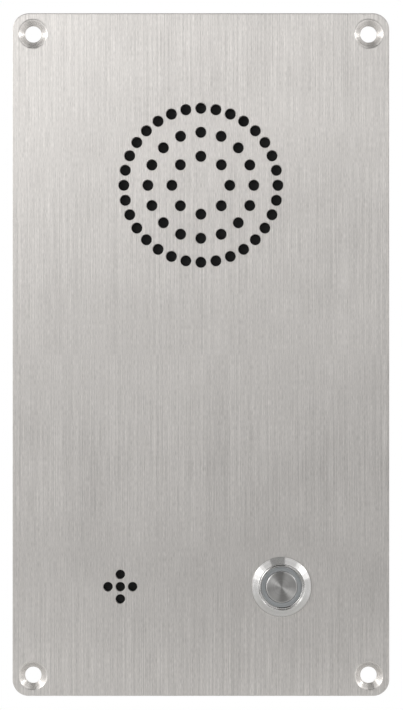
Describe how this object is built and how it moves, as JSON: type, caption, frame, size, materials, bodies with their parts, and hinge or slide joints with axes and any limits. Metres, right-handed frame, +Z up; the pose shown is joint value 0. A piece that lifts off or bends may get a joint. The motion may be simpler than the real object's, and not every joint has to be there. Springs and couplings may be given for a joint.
{
  "type": "flush wall intercom",
  "caption": "Flush wall intercom: brushed steel plate with speaker grille, microphone holes and ring-lit push button.",
  "frame": {"origin": "centre of the front plate's rear face, which lies on the wall; the middle of the four fixing holes", "axes": "+X to the right and +Z up as the caller sees it, +Y into the wall"},
  "size_m": [0.138, 0.037, 0.25],
  "materials": {
    "brushed_plate": "vertical hairline brushing",
    "turned_steel": "fine concentric turning marks",
    "galvanised": "zinc-coated sheet with faint spangle",
    "zinc_fastener": "bright zinc plating",
    "foam": "closed-cell foam",
    "rubber": "matt",
    "cloth": "fine black weave",
    "pressed_steel": "black electrophoretic paint",
    "zinc_steel": "zinc-plated",
    "ferrite": "ground sintered ferrite",
    "paper_cone": "pressed pulp",
    "treated_cloth": "resin-treated weave",
    "copper": "enamelled copper",
    "nickel": "nickel plating",
    "capsule_can": "drawn can",
    "black_plastic": "moulded",
    "ring_plastic": "frosted, grey-green when unlit",
    "acetal": "natural",
    "circuit_board": "solder mask",
    "lamp_white": "moulded lens",
    "terminal_green": "moulded",
    "relay_blue": "moulded",
    "lead_sheath": "flat twin lead",
    "bright_steel": "plain steel"
  },
  "bodies": {
    "case": {"front_plate": "brushed_plate", "weld_studs": "bright_steel", "cover_gasket": "foam", "rear_cover": "galvanised", "cover_nuts": "zinc_fastener", "speaker_cloth": "cloth", "speaker_frame": "pressed_steel", "pole_plate": "zinc_steel", "speaker_magnet": "ferrite", "speaker_yoke": "zinc_steel", "cone_surround": "treated_cloth", "cone_spider": "treated_cloth", "speaker_tags": "black_plastic", "speaker_bridge": "zinc_steel", "bridge_nuts": "zinc_fastener", "microphone_cloth": "cloth", "microphone_boot": "rubber", "microphone_capsule": "capsule_can", "microphone_bracket": "zinc_steel", "bracket_nuts": "zinc_fastener", "switch_housing": "turned_steel", "switch_seal": "rubber", "switch_nut": "nickel", "return_spring": "bright_steel", "switch_contacts": "nickel", "switch_base": "black_plastic", "led_board": "circuit_board", "ring_leds": "lamp_white", "led_pins": "nickel", "lamp_blades": "nickel", "switch_plug": "black_plastic", "board_standoffs": "nickel", "main_board": "circuit_board", "board_screws": "zinc_fastener", "jack_shell": "nickel", "jack_insert": "black_plastic", "jack_contacts": "copper", "terminal_block": "terminal_green", "power_transformer": "black_plastic", "door_relay": "relay_blue", "board_chips": "black_plastic", "board_capacitors": "black_plastic", "board_sockets": "acetal", "speaker_lead": "lead_sheath", "microphone_lead": "lead_sheath", "switch_lead": "lead_sheath"},
    "button": {"button_cap": "turned_steel", "light_ring": "ring_plastic", "button_plunger": "acetal", "plunger_seal": "rubber", "plunger_collar": "nickel", "contact_bridge": "nickel"},
    "cone": {"speaker_cone": "paper_cone", "dust_cap": "paper_cone", "voice_coil": "copper"}
  },
  "joints": [
    {"name": "button_press", "type": "slide", "parent": "case", "child": "button", "axis": [0, 1, 0], "range_m": [0, 0.002], "stiffness_N_per_m": 1000, "springref_m": -0.002, "deforming": ["return_spring"]},
    {"name": "cone_travel", "type": "slide", "parent": "case", "child": "cone", "axis": [0, 1, 0], "range_m": [-0.0008, 0.0008], "stiffness_N_per_m": 3000, "deforming": ["cone_surround", "cone_spider"]}
  ]
}
